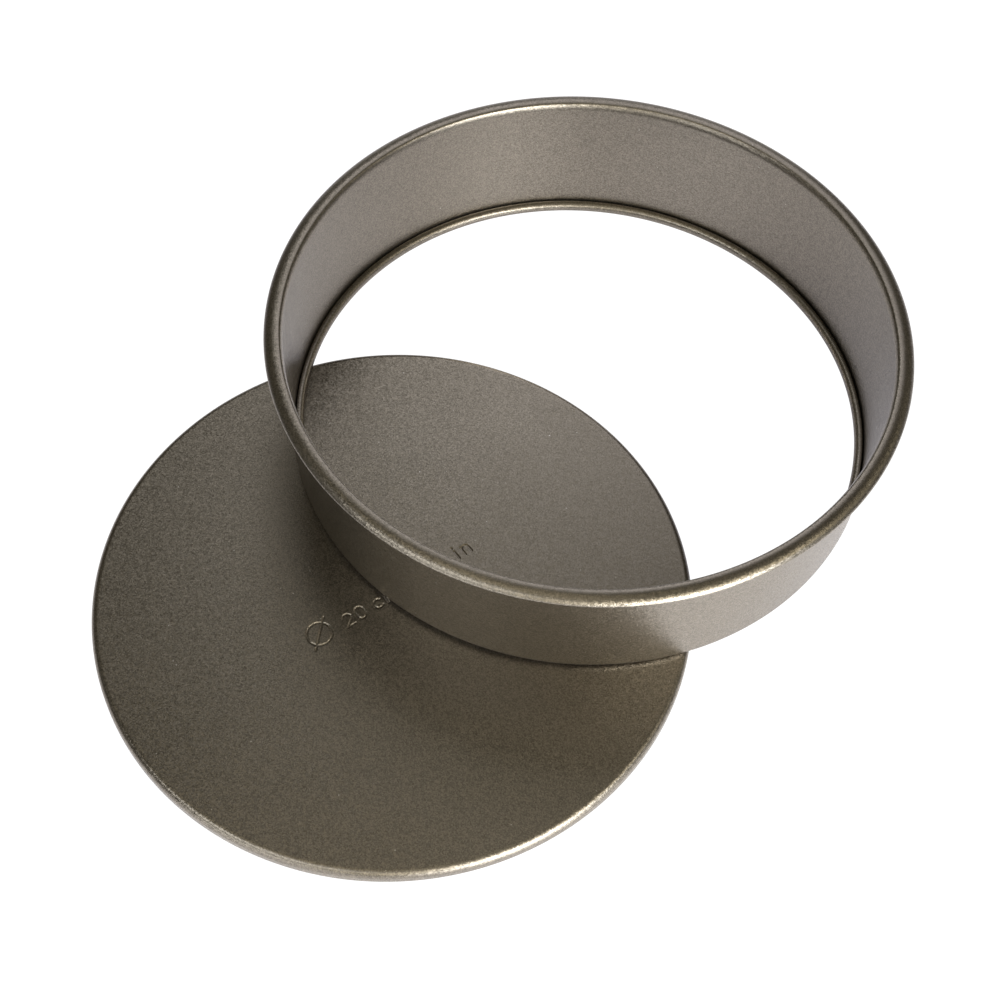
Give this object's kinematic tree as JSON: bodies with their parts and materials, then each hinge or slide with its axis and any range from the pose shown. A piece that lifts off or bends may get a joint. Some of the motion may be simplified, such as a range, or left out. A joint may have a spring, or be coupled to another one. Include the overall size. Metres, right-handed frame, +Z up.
{
  "type": "loose-bottomed cake tin",
  "caption": "Round loose-bottomed cake tin of coated steel: a tapered side ring with a rolled rim and an inward foot ledge, lying on its flat push-up base plate.",
  "frame": {"origin": "centre of the base plate's foot, on the table it lies on", "axes": "+Z up; +Y from the base plate's centre towards the side ring, which lies partly on the plate; +X to the right of that"},
  "size_m": [0.2164, 0.3068, 0.0579],
  "materials": {
    "nonstick_coating": "fine-grained satin non-stick coating, dark warm grey"
  },
  "bodies": {
    "base": {"base_plate": "nonstick_coating"},
    "ring": {"side_ring": "nonstick_coating"}
  },
  "joints": [
    {"name": "ring_lift", "type": "slide", "parent": "base", "child": "ring", "axis": [0, 0, 1], "range_m": [0, 0.1]}
  ]
}
